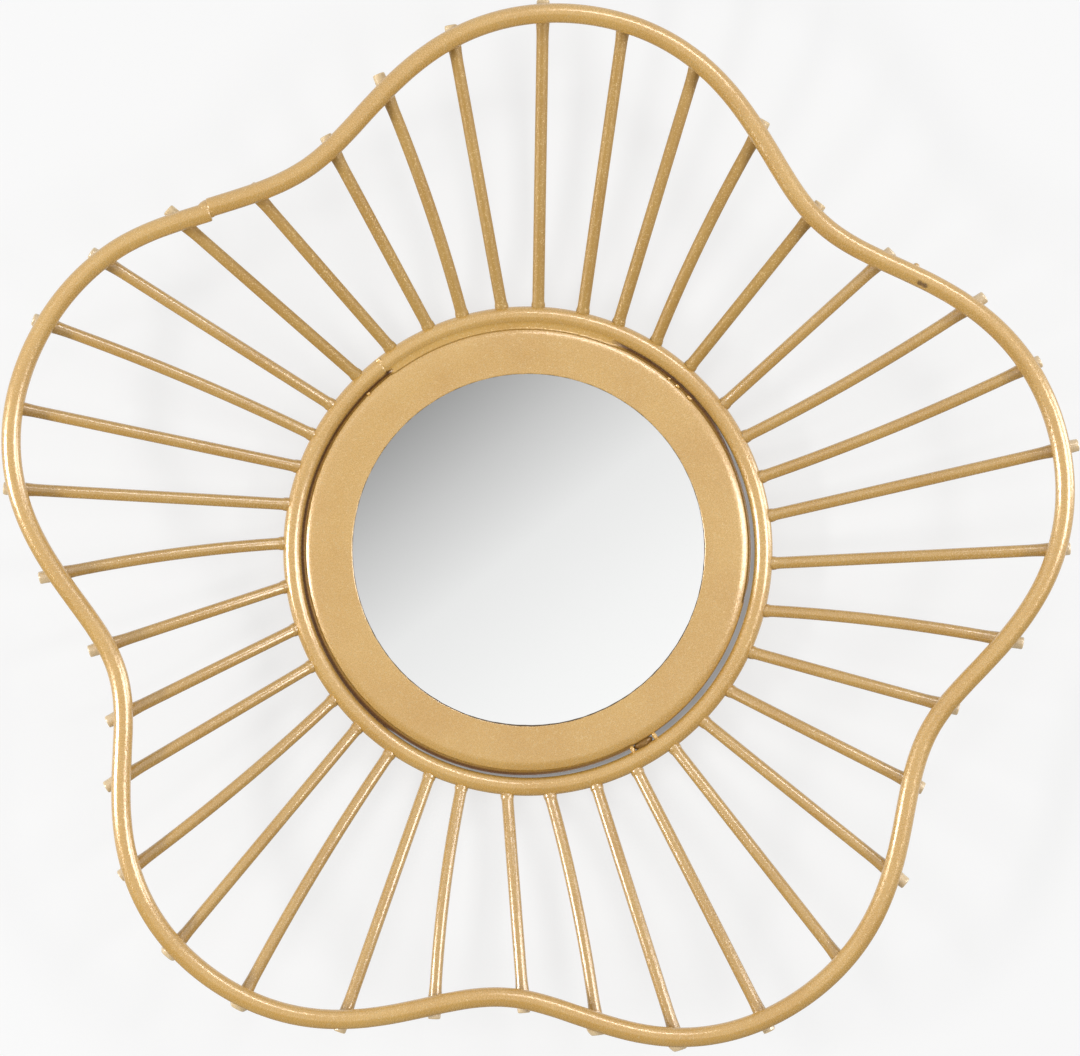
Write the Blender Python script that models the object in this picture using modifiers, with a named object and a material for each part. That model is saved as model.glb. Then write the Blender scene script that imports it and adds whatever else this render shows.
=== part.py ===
"""Wall mirror: a round glass in a pressed frame, set in a wire flower of five petals.

Metres, +Z up. The wall is the plane y = 0 and the mirror looks towards -Y. The origin is the
middle of the back board's rear face, which lies flat on the wall.
"""
import math

import bmesh
import bpy
import numpy as np

# Driving dimensions, in metres. Angles are in degrees, anticlockwise from +X as seen in front.
CLEARANCE = 0.0003           # between pieces that touch

RING_RADIUS = 0.0589         # to the middle of the hub ring's rod
RING_ROD = 0.0046            # its thickness
RING_STAND_OFF = 0.0070      # from the wall to the middle of its rod
RING_JOINT = 128.0           # where its two ends meet
FLOWER_X = 0.0002            # the ring and its flower sit a little off the mirror's middle
FLOWER_Z = -0.0004

TIP_RADIUS = 0.1314          # to the middle of the petal rod, at a petal's tip
VALLEY_RADIUS = 0.1086       # and between two petals
PETAL_FULLNESS = 0.11        # how much fatter a petal is than a plain wave, as a share of its depth
PETAL_ROD = 0.0048
PETAL_STAND_OFF = 0.0240     # from the wall to the middle of the petal rod
PETAL_JOINT = 133.0          # where its two ends meet
PETAL_JOINT_STEP = 0.0011    # one end lies further in than the other by this much
PETAL_JOINT_FADE = 12.0      # and the step fades away over this angle

SPOKES = 37
SPOKE_ROD = 0.0030
FIRST_SPOKE = 5.6            # an even spread would start here
SPOKE_CROWDING = 3.4         # the spokes crowd on one side of the ring by up to this angle
CROWDING_FROM = 58.0
SPOKE_LEAN = 2.6             # a spoke's outer end is turned on by this angle
SPOKE_ARCH = 0.16            # rise above a straight run halfway out, as a share of its whole rise
SPOKE_END = 0.0038           # how far a spoke runs on past the middle of the petal rod

BAND_INNER_RADIUS = 0.0440   # the frame's opening, where the glass shows
FRAME_TO_RING = 0.00075      # gap between the frame's side wall and the ring, all round
FACE_STAND_OFF = 0.0090      # from the wall to the front of the frame
FRAME_SHEET = 0.0008
FRAME_CORNER = 0.0020        # outer radius of the corner between the band and the side wall
FRAME_LIFT = 0.0010          # from the wall to the rear edge of the side wall
GLASS_THICKNESS = 0.0020

LOOP_ROD = 0.0018
LOOP_WIDTH = 0.0100          # between the middles of the loop's two legs
LOOP_DROP = 0.0110           # from the frame's side wall to the middle of the loop's lowest bend
LOOP_STAND_OFF = 0.0025
BOARD_CUT = 0.0030           # room between the loop and the board's straight top edge

# The rod was bent by hand: each petal's tip, then the valley after it, as an angle and how far
# the bend misses its radius.
PETAL_BENDS = (
    (11.0, 0.0021), (48.0, -0.0004),
    (84.5, 0.0012), (121.0, 0.0000),
    (160.0, 0.0002), (196.5, -0.0035),
    (232.5, -0.0008), (267.0, 0.0011),
    (299.0, -0.0024), (335.0, -0.0006),
)

# The spokes were set by eye. These are the ones that stray: how far the inner end is moved
# along the ring, the outer end along the petals, and how far the middle bows, each as a whole
# number of the unit.
STRAY_UNIT = 0.001
STRAY_SPOKES = {
    0: (1, 2, 0), 1: (0, 0, -1), 2: (0, -3, -1), 3: (-1, -2, 0), 4: (1, -1, 0), 5: (1, 2, 1),
    6: (1, 2, 0), 8: (1, -2, 0), 9: (0, -1, 0), 10: (0, -2, -1), 11: (-1, -3, 0), 12: (0, 1, 0),
    13: (1, 1, 0), 14: (1, 1, 0), 15: (0, 1, -1), 16: (-1, 2, 0), 17: (-1, 1, 0),
    18: (-1, 2, -1), 19: (0, 3, 0), 20: (1, 3, 0), 21: (1, -1, 0), 22: (1, -1, 1),
    23: (0, -1, 0), 24: (0, -2, -1), 25: (1, 1, 0), 26: (-1, 1, -1), 27: (0, 3, 0),
    28: (0, 1, 1), 29: (1, -2, 0), 30: (1, -3, 0), 31: (1, -2, 0), 33: (-1, 0, 0),
    34: (-1, 1, 0), 35: (-1, 0, 1), 36: (0, 1, 0),
}
LONG_SPOKES = (0, 2, 10, 18, 19, 20, 21, 32, 35)
SHORT_SPOKES = (6, 7, 12, 16, 31)
SPOKE_END_SPREAD = 0.0011    # how much further or less far those run past the petal rod

# How finely the round forms are cut.
PETAL_STEPS = 108
RING_STEPS = 72
SPOKE_STEPS = 5
FRAME_STEPS = 64
FRAME_LIP_STEPS = 3
FRAME_CORNER_STEPS = 4
FRAME_INSIDE_STEPS = 2
LOOP_BEND_STEPS = 10
ROD_RESOLUTION = 2
MERGE_DISTANCE = 0.00001

# Finishes: colour, roughness and metallic value.
ROD_PAINT = ((0.69, 0.45, 0.17, 1.0), 0.35, 1.0)
FRAME_PAINT = ((0.69, 0.45, 0.17, 1.0), 0.40, 1.0)
SILVERED_GLASS = ((0.86, 0.87, 0.88, 1.0), 0.03, 1.0)
FIBRE_BOARD = ((0.28, 0.19, 0.11, 1.0), 0.85, 0.0)
STEEL_WIRE = ((0.62, 0.60, 0.56, 1.0), 0.35, 1.0)


def clear_scene():
    for old in list(bpy.data.objects):
        bpy.data.objects.remove(old, do_unlink=True)


def new_collection(name):
    collection = bpy.data.collections.new(name)
    bpy.context.scene.collection.children.link(collection)
    return collection


def material(name, finish):
    colour, roughness, metallic = finish
    made = bpy.data.materials.new(name)
    made.use_nodes = True
    shader = made.node_tree.nodes["Principled BSDF"]
    shader.inputs["Base Color"].default_value = colour
    shader.inputs["Roughness"].default_value = roughness
    shader.inputs["Metallic"].default_value = metallic
    made.diffuse_color = colour
    return made


def rod(name, points, thickness, finish, collection, place=(0.0, 0.0, 0.0)):
    """A round rod along the points, with its two ends cut square."""
    curve = bpy.data.curves.new(name, "CURVE")
    curve.dimensions = "3D"
    curve.bevel_depth = thickness / 2
    curve.bevel_resolution = ROD_RESOLUTION
    curve.use_fill_caps = True
    spline = curve.splines.new("POLY")
    spline.points.add(len(points) - 1)
    for spot, point in zip(spline.points, points):
        spot.co = (*point, 1.0)
    curve.materials.append(finish)
    made = bpy.data.objects.new(name, curve)
    made.location = place
    collection.objects.link(made)
    return made


def polar(radius, angle, stand_off):
    """The point at a radius and an angle in front of the wall, about the flower's middle."""
    turn = math.radians(angle)
    return (radius * math.cos(turn), -stand_off, radius * math.sin(turn))


def petal_radius(angle):
    """The petal rod's radius: half a cosine wave from each tip to the next valley, made fatter
    by a raised cosine that is widest halfway between them."""
    start = PETAL_BENDS[0][0]
    angle = (angle - start) % 360.0 + start
    bends = [(turn, TIP_RADIUS + miss if number % 2 == 0 else VALLEY_RADIUS + miss, number % 2)
             for number, (turn, miss) in enumerate(PETAL_BENDS)]
    bends.append((bends[0][0] + 360.0, bends[0][1], 0))
    for (turn, radius, low), (next_turn, next_radius, _) in zip(bends, bends[1:]):
        if angle <= next_turn:
            break
    share = (angle - turn) / (next_turn - turn)
    tip, valley = (next_radius, radius) if low else (radius, next_radius)
    from_tip = 1.0 - share if low else share
    wave = (1.0 + math.cos(math.pi * from_tip)) / 2
    fat = PETAL_FULLNESS * (1.0 - math.cos(2 * math.pi * from_tip)) / 2
    return valley + (tip - valley) * (wave + fat)


def open_angles(joint, radius, steps):
    """Angles once round from a joint to itself, less the clearance between the two ends."""
    gap = math.degrees(CLEARANCE / radius)
    return np.linspace(joint + gap / 2, joint + 360.0 - gap / 2, steps + 1)


def petal_wire(collection):
    """One rod bent into five petals, whose first end lies further in than its last."""
    points = []
    for angle in open_angles(PETAL_JOINT, petal_radius(PETAL_JOINT), PETAL_STEPS):
        faded = max(0.0, 1.0 - (angle - PETAL_JOINT) / PETAL_JOINT_FADE)
        step = PETAL_JOINT_STEP * faded * faded * (3.0 - 2.0 * faded)
        points.append(polar(petal_radius(angle) - step, angle, PETAL_STAND_OFF))
    finish = material("petal_wire_paint", ROD_PAINT)
    rod("petal_wire", points, PETAL_ROD, finish, collection, (FLOWER_X, 0.0, FLOWER_Z))


def hub_ring(collection):
    """The ring that carries the spokes, bent from one rod."""
    points = [polar(RING_RADIUS, angle, RING_STAND_OFF)
              for angle in open_angles(RING_JOINT, RING_RADIUS, RING_STEPS)]
    finish = material("hub_ring_paint", ROD_PAINT)
    rod("hub_ring", points, RING_ROD, finish, collection, (FLOWER_X, 0.0, FLOWER_Z))


def spoke_points(number):
    """A spoke's run from the ring's outer side to just past the petal rod, behind it.

    In front view it is a straight line with a slight bow. Its distance from the wall rises
    from the ring's to the back of the petal rod along a flat arch.
    """
    stray = STRAY_SPOKES.get(number, (0, 0, 0))
    ring_move, petal_move, bow = (value * STRAY_UNIT for value in stray)
    even = 360.0 * number / SPOKES
    angle = FIRST_SPOKE + even + SPOKE_CROWDING * math.cos(math.radians(even - CROWDING_FROM))
    inner_radius = RING_RADIUS + RING_ROD / 2 + CLEARANCE
    inner_angle = angle + math.degrees(ring_move / inner_radius)
    outer_angle = angle + SPOKE_LEAN
    outer_angle += math.degrees(petal_move / petal_radius(outer_angle))
    inner = np.array(polar(inner_radius, inner_angle, 0.0))
    outer = np.array(polar(petal_radius(outer_angle), outer_angle, 0.0))
    run = outer - inner
    length = np.linalg.norm(run)
    side = np.array((-run[2], 0.0, run[0])) / length
    past = SPOKE_END
    if number in LONG_SPOKES:
        past += SPOKE_END_SPREAD
    if number in SHORT_SPOKES:
        past -= SPOKE_END_SPREAD
    behind_petals = PETAL_STAND_OFF - PETAL_ROD / 2 - SPOKE_ROD / 2 - CLEARANCE
    rise = behind_petals - RING_STAND_OFF
    points = []
    for share in np.linspace(0.0, 1.0 + past / length, SPOKE_STEPS + 1):
        arch = 4.0 * share * (1.0 - share)
        place = inner + run * share + side * bow * arch
        place[1] = -(RING_STAND_OFF + rise * (share + SPOKE_ARCH * arch))
        points.append(tuple(place))
    return points


def spokes(collection):
    """Thin rods from the ring out to the petals, numbered anticlockwise from the right."""
    for number in range(SPOKES):
        name = f"spoke_{number + 1:02d}"
        finish = material(f"{name}_paint", ROD_PAINT)
        rod(name, spoke_points(number), SPOKE_ROD, finish, collection, (FLOWER_X, 0.0, FLOWER_Z))


def frame_radius():
    """Outer radius of the frame's side wall, which fits inside the ring."""
    return RING_RADIUS - RING_ROD / 2 - FRAME_TO_RING


def arc(centre, radius, start, end, steps):
    """Points along an arc in a plane, from one angle to another."""
    return [(centre[0] + radius * math.cos(math.radians(turn)),
             centre[1] + radius * math.sin(math.radians(turn)))
            for turn in np.linspace(start, end, steps + 1)]


def mirror_frame(collection):
    """Pressed sheet turned about the mirror's axis: a rounded lip, a flat band, a rounded
    corner and a side wall. The profile is the sheet's whole section, as radius and y."""
    outer = frame_radius()
    front = -FACE_STAND_OFF
    corner = (outer - FRAME_CORNER, front + FRAME_CORNER)
    lip = (BAND_INNER_RADIUS + FRAME_SHEET, front + FRAME_SHEET)
    profile = arc(lip, FRAME_SHEET, -180.0, -90.0, FRAME_LIP_STEPS)
    profile += arc(corner, FRAME_CORNER, -90.0, 0.0, FRAME_CORNER_STEPS)
    profile += [(outer, -FRAME_LIFT), (outer - FRAME_SHEET, -FRAME_LIFT)]
    profile += arc(corner, FRAME_CORNER - FRAME_SHEET, 0.0, -90.0, FRAME_INSIDE_STEPS)
    mesh = bpy.data.meshes.new("mirror_frame")
    count = len(profile)
    edges = [(first, (first + 1) % count) for first in range(count)]
    mesh.from_pydata([(radius, y, 0.0) for radius, y in profile], edges, [])
    mesh.materials.append(material("mirror_frame_paint", FRAME_PAINT))
    made = bpy.data.objects.new("mirror_frame", mesh)
    collection.objects.link(made)
    screw = made.modifiers.new("turned", "SCREW")
    screw.axis = "Y"
    screw.steps = FRAME_STEPS
    screw.render_steps = FRAME_STEPS
    screw.use_merge_vertices = True
    screw.merge_threshold = MERGE_DISTANCE
    screw.use_normal_calculate = True


def disc(name, radius, front, back, finish, collection):
    """A round plate about the mirror's axis, between two distances from the wall."""
    mesh = bpy.data.meshes.new(name)
    shape = bmesh.new()
    bmesh.ops.create_cone(shape, cap_ends=True, segments=FRAME_STEPS, radius1=radius,
                          radius2=radius, depth=front - back)
    shape.to_mesh(mesh)
    shape.free()
    mesh.materials.append(finish)
    made = bpy.data.objects.new(name, mesh)
    made.rotation_euler = (math.radians(90.0), 0.0, 0.0)
    made.location = (0.0, -(front + back) / 2, 0.0)
    collection.objects.link(made)
    return made


def glass_back():
    """Distance from the wall to the rear of the glass, which lies behind the band."""
    return FACE_STAND_OFF - FRAME_SHEET - CLEARANCE - GLASS_THICKNESS


def mirror_glass(collection):
    """Silvered glass, as wide as the flat of the band behind its rounded corner allows."""
    radius = frame_radius() - FRAME_CORNER - CLEARANCE
    finish = material("mirror_glass_silver", SILVERED_GLASS)
    disc("mirror_glass", radius, glass_back() + GLASS_THICKNESS, glass_back(), finish, collection)


def loop_top():
    """Height of the loop's two cut ends, just clear of the side wall where the legs meet it."""
    reach = frame_radius() - FRAME_SHEET - CLEARANCE
    return math.sqrt(reach ** 2 - (LOOP_WIDTH / 2 + LOOP_ROD / 2) ** 2)


def hanging_loop(collection):
    """A bent wire under the top of the side wall: two legs and a half-round bend."""
    radius = LOOP_WIDTH / 2
    bend_height = loop_top() - LOOP_DROP + radius
    points = [(radius, -LOOP_STAND_OFF, loop_top())]
    for x, z in arc((0.0, bend_height), radius, 0.0, -180.0, LOOP_BEND_STEPS):
        points.append((x, -LOOP_STAND_OFF, z))
    points.append((-radius, -LOOP_STAND_OFF, loop_top()))
    rod("hanging_loop", points, LOOP_ROD, material("hanging_loop_steel", STEEL_WIRE), collection)


def back_board(collection, cutters):
    """Board behind the glass, with a straight cut across its top that makes room for the loop."""
    radius = frame_radius() - FRAME_SHEET - CLEARANCE
    thickness = glass_back() - CLEARANCE
    finish = material("back_board_fibre", FIBRE_BOARD)
    board = disc("back_board", radius, thickness, 0.0, finish, collection)
    edge = loop_top() - LOOP_DROP - LOOP_ROD / 2 - BOARD_CUT
    mesh = bpy.data.meshes.new("back_board_cutter")
    shape = bmesh.new()
    bmesh.ops.create_cube(shape, size=2.0 * radius)
    shape.to_mesh(mesh)
    shape.free()
    cutter = bpy.data.objects.new("back_board_cutter", mesh)
    cutter.location = (0.0, -thickness / 2, edge + radius)
    cutter.display_type = "WIRE"
    cutter.hide_render = True
    cutters.objects.link(cutter)
    cut = board.modifiers.new("straight_top", "BOOLEAN")
    cut.operation = "DIFFERENCE"
    cut.object = cutter


clear_scene()
parts = new_collection("wall_mirror")
cutters = new_collection("cutters")
back_board(parts, cutters)
mirror_glass(parts)
mirror_frame(parts)
hanging_loop(parts)
hub_ring(parts)
spokes(parts)
petal_wire(parts)
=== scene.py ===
"""Looks of a small wall mirror: a round glass in a gold frame, inside a gold wire flower.

Metres, +Z up. The wall is the plane y = 0 and the mirror looks towards -Y. The pieces follow
one another as the mirror is put together, from the board on the wall to the petal rod in front.
Angles are in degrees, anticlockwise from +X as seen from the front.
"""
import math

import bmesh
import bpy
import numpy as np
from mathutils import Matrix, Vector


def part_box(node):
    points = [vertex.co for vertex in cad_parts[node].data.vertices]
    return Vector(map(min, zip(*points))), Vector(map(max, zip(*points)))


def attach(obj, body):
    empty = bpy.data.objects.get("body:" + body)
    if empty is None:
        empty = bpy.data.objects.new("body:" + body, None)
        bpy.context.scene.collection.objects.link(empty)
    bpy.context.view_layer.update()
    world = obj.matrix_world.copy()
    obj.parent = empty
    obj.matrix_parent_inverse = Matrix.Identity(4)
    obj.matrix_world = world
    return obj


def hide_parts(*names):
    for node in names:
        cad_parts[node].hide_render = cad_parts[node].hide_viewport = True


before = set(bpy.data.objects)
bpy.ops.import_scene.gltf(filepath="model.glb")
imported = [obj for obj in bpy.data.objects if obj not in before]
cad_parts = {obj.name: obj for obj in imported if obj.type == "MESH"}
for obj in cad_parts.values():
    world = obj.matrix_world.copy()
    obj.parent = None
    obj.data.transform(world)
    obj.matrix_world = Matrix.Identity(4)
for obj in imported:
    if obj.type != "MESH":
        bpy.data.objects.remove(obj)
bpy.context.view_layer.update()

# The view: straight on from a metre away, a little right of and above the mirror's middle.
CAMERA_PLACE = (0.00325, -1.0, 0.005325)
FOCAL_LENGTH_IN_IMAGE_WIDTHS = 3.678
SENSOR_MM = 36.0

camera = bpy.data.objects.new("camera", bpy.data.cameras.new("camera"))
camera.location = CAMERA_PLACE
camera.rotation_euler = (math.radians(90.0), 0.0, 0.0)
camera.data.sensor_width = SENSOR_MM
camera.data.lens = SENSOR_MM * FOCAL_LENGTH_IN_IMAGE_WIDTHS
camera.data.clip_start = 0.01
bpy.context.scene.collection.objects.link(camera)
bpy.context.scene.camera = camera


# Back board. A round of brown hardboard that closes the frame from behind, sawn straight across
# the top to leave room for the hanging loop. It is dropped into the frame behind the glass.
BOARD_EDGE_ROUND = 0.0005
BOARD_TURNS = 192
BOARD_BROWN = (0.235, 0.150, 0.082, 1.0)
BOARD_PALE = (0.330, 0.225, 0.130, 1.0)


def new_piece(name, points, faces, finish, sharp=40.0):
    """A mesh object at the origin with its faces turned outwards, smooth but for its edges."""
    mesh = bpy.data.meshes.new(name)
    mesh.from_pydata(points, [], faces)
    shape = bmesh.new()
    shape.from_mesh(mesh)
    bmesh.ops.recalc_face_normals(shape, faces=shape.faces)
    shape.to_mesh(mesh)
    shape.free()
    mesh.shade_smooth()
    mesh.set_sharp_from_angle(angle=math.radians(sharp))
    mesh.materials.append(finish)
    piece = bpy.data.objects.new(name, mesh)
    bpy.context.scene.collection.objects.link(piece)
    return piece


def grid_faces(rows, columns, ring=False, first=0):
    """Quads over a grid of points whose columns close on themselves, and its rows too in a ring.

    Otherwise the two end rows are closed by fans about two more points, which follow the grid.
    """
    row = np.arange(rows if ring else rows - 1)[:, None]
    column = np.arange(columns)[None, :]
    next_row, next_column = (row + 1) % rows, (column + 1) % columns
    corners = (row * columns + column, row * columns + next_column,
               next_row * columns + next_column, next_row * columns + column)
    faces = (np.stack(np.broadcast_arrays(*corners), -1).reshape(-1, 4) + first).tolist()
    if not ring:
        near = np.arange(columns)
        after = (near + 1) % columns
        far = (rows - 1) * columns
        start, end = rows * columns + first, rows * columns + 1 + first
        faces += [(start, b + first, a + first) for a, b in zip(near, after)]
        faces += [(end, a + far + first, b + far + first) for a, b in zip(near, after)]
    return faces


def closed_points(grid):
    """The grid's points, then the middle of its first row and the middle of its last row."""
    ends = np.stack([grid[0].mean(0), grid[-1].mean(0)])
    return np.concatenate([grid.reshape(-1, 3), ends])


def material_nodes(name):
    """A new material, its node maker, its linker and its Principled shader."""
    made = bpy.data.materials.new(name)
    made.use_nodes = True
    tree = made.node_tree
    return made, tree.nodes.new, tree.links.new, tree.nodes["Principled BSDF"]


def feed(link, socket, value):
    """Links a node's output to a socket, or sets the socket to a fixed value."""
    if isinstance(value, bpy.types.NodeSocket):
        link(value, socket)
    else:
        socket.default_value = value


def noise(node, link, place, scale, detail=2.0):
    """Smooth noise over the piece, between 0 and 1."""
    made = node("ShaderNodeTexNoise")
    made.inputs["Scale"].default_value = scale
    made.inputs["Detail"].default_value = detail
    link(place.outputs["Object"], made.inputs["Vector"])
    return made.outputs["Fac"]


def relief(node, link, height, strength, depth):
    """The directions of a surface whose height goes from 0 to a depth in metres."""
    bump = node("ShaderNodeBump")
    bump.inputs["Strength"].default_value = strength
    bump.inputs["Distance"].default_value = depth
    link(height, bump.inputs["Height"])
    return bump.outputs["Normal"]


def read_ramp(node, link, share, stops):
    """The colour at a share of a ramp, whose stops are pairs of a share and a colour."""
    ramp = node("ShaderNodeValToRGB")
    elements = ramp.color_ramp.elements
    while len(elements) < len(stops):
        elements.new(1.0)
    for element, (where, colour) in zip(elements, stops):
        element.position = where
        element.color = colour
    link(share, ramp.inputs["Fac"])
    return ramp.outputs["Color"]


def fibre_board():
    """Matt brown fibres: a fine noise for the fibre and a broad one for the pressing."""
    made, node, link, shader = material_nodes("fibre_board")
    place = node("ShaderNodeTexCoord")
    fibre = noise(node, link, place, 1800.0, 6.0)
    blend = node("ShaderNodeMath")
    blend.operation = "MULTIPLY_ADD"
    blend.inputs[1].default_value = 0.6
    link(fibre, blend.inputs[0])
    link(noise(node, link, place, 70.0), blend.inputs[2])
    brown = read_ramp(node, link, blend.outputs[0], ((0.55, BOARD_BROWN), (1.05, BOARD_PALE)))
    link(brown, shader.inputs["Base Color"])
    link(relief(node, link, fibre, 0.5, 0.0001), shader.inputs["Normal"])
    shader.inputs["Roughness"].default_value = 0.85
    shader.inputs["Specular IOR Level"].default_value = 0.25
    return made


def back_board():
    """An outline, which is a circle cut by a straight line, drawn in towards the middle along a
    quarter circle at both faces."""
    low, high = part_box("back_board")
    radius, cut = high[0], high[2]
    corner = math.asin(cut / radius)
    turns = np.concatenate([np.linspace(math.pi - corner, 2 * math.pi + corner, BOARD_TURNS),
                            np.linspace(corner, math.pi - corner, BOARD_TURNS // 4)[1:-1]])
    reach = np.minimum(radius, cut / np.maximum(np.sin(turns), 0.001))
    reach = np.where(np.sin(turns) > 0.001, reach, radius)
    bend = np.linspace(0.0, math.pi / 2, 6)
    inset = BOARD_EDGE_ROUND * np.concatenate([1.0 - np.sin(bend), 1.0 - np.cos(bend)])
    depth = np.concatenate([high[1] - BOARD_EDGE_ROUND * (1.0 - np.cos(bend)),
                            low[1] + BOARD_EDGE_ROUND * (1.0 - np.sin(bend))])
    scale = 1.0 - inset / radius
    grid = np.stack([scale[:, None] * reach * np.cos(turns),
                     np.broadcast_to(depth[:, None], (len(depth), len(turns))),
                     scale[:, None] * reach * np.sin(turns)], -1)
    return new_piece("board", closed_points(grid), grid_faces(*grid.shape[:2]), fibre_board())


board = back_board()
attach(board, "root")
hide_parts("back_board")


# Mirror glass. A round of two-millimetre glass, silvered behind, its edges ground by hand. It
# lies behind the band of the frame and the board holds it there.
GLASS_BEVEL = 0.0003
GLASS_TURNS = 256
SILVER = (0.93, 0.935, 0.93, 1.0)


def silvered_glass():
    """A mirror finish, very slightly uneven, as cheap float glass is."""
    made, node, link, shader = material_nodes("silvered_glass")
    waves = noise(node, link, node("ShaderNodeTexCoord"), 9.0, 0.0)
    link(relief(node, link, waves, 0.03, 0.001), shader.inputs["Normal"])
    shader.inputs["Base Color"].default_value = SILVER
    shader.inputs["Metallic"].default_value = 1.0
    shader.inputs["Roughness"].default_value = 0.015
    return made


def turned_grid(profile, turns):
    """A profile of (radius, y) carried round the mirror's axis: one row for each of its points."""
    round_once = np.linspace(0.0, 2 * math.pi, turns, endpoint=False)
    radius, depth = profile[:, 0, None], profile[:, 1, None]
    return np.stack([radius * np.cos(round_once), np.broadcast_to(depth, (len(profile), turns)),
                     radius * np.sin(round_once)], -1)


def mirror_glass():
    """A disc with a flat bevel round each face."""
    low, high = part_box("mirror_glass")
    radius = high[0]
    profile = np.array([(radius - GLASS_BEVEL, high[1]), (radius, high[1] - GLASS_BEVEL),
                        (radius, low[1] + GLASS_BEVEL), (radius - GLASS_BEVEL, low[1])])
    grid = turned_grid(profile, GLASS_TURNS)
    return new_piece("glass", closed_points(grid), grid_faces(*grid.shape[:2]),
                     silvered_glass(), sharp=20.0)


glass = mirror_glass()
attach(glass, "root")
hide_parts("mirror_glass")


# Mirror frame. Thin sheet pressed to a flat band with a rolled lip round the glass, a rounded
# outer corner and a side wall, sprayed with gold paint that is full of fine glitter.
BAND_INNER_RADIUS = 0.0440
FRAME_SHEET = 0.0008
FRAME_CORNER = 0.0020
CORNER_ACROSS = 0.0033       # the face begins to fall away this far inside the side wall
BAND_CROWN = 0.00010         # the band stands this much prouder at its middle than at its sides
LIP_ROUND = 0.00024
OPENING_SHIFT = (0.00040, -0.00018)     # the opening is pressed this far off the frame's middle
LIP_WAVER = 0.00006          # paint gathered along the lip makes its edge uneven by this much
FRAME_TURNS = 360
SHADE_BESIDE_RING = ((0.0010, 0.0), (0.0017, 0.9), (0.0040, 0.9), (0.0055, 0.0))  # painted shade: the brown's share, by depth
GOLD = (0.500, 0.294, 0.069, 1.0)
GOLD_DEEP = (0.462, 0.258, 0.052, 1.0)
GOLD_GLINT = (0.860, 0.680, 0.380, 1.0)
GLINT_SHARE = 0.40           # the glint's share in the brightest flakes
# A dark brown for burns in the paint, and for painted shade in the ring joint's notch.
BURN_AND_SHADE_DARK = (0.060, 0.022, 0.006, 1.0)
DARK_SPOT_SHARE = 0.75
DARK_SPOT_CORE = 0.45            # share of a dark spot's reach that is fully dark
# Painted shade: the brown that the paint darkens to where it lies deep between parts.
SHADE_BROWN = (0.100, 0.040, 0.009, 1.0)
# Painted light: the paler colour of the spoke stubs outside the petal rod, where they are strongly
# lit.
STUB_PALE = (0.760, 0.620, 0.400, 1.0)
FLAKE_SCALE = 4800.0
FLAKE_TILT = 0.10            # a flake's normal leans by up to about half of this
FLAKE_DULL, FLAKE_KEEN = 0.08, 0.10     # a flake is this much rougher or smoother than the paint
FLAKE_METAL = 0.25           # and the brightest ones are more metallic by this much
DRIFT_SCALE = 55.0
RIPPLE_SCALE = 2600.0
RIPPLE_STRENGTH, RIPPLE_DEPTH = 0.40, 0.00002


def vector_step(node, link, operation, first, second=(0.0, 0.0, 0.0)):
    """A node for one operation on vectors, each of them a node's output or a fixed value."""
    step = node("ShaderNodeVectorMath")
    step.operation = operation
    feed(link, step.inputs[0], first)
    feed(link, step.inputs[1], second)
    return step


def carried(node, link, value, before, after=(0.0, 1.0), smooth=False):
    """A value carried from one range to another, and held at its ends."""
    step = node("ShaderNodeMapRange")
    step.interpolation_type = "SMOOTHSTEP" if smooth else "LINEAR"
    for socket, number in zip(("From Min", "From Max", "To Min", "To Max"), before + after):
        step.inputs[socket].default_value = number
    link(value, step.inputs["Value"])
    return step.outputs["Result"]


def laid_over(node, link, under, over, share):
    """A colour laid over another one by a share."""
    mix = node("ShaderNodeMix")
    mix.data_type = "RGBA"
    feed(link, mix.inputs["A"], under)
    mix.inputs["B"].default_value = over
    link(share, mix.inputs["Factor"])
    return mix.outputs["Result"]


def grey(value):
    """A grey as a colour."""
    return (value, value, value, 1.0)


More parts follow.
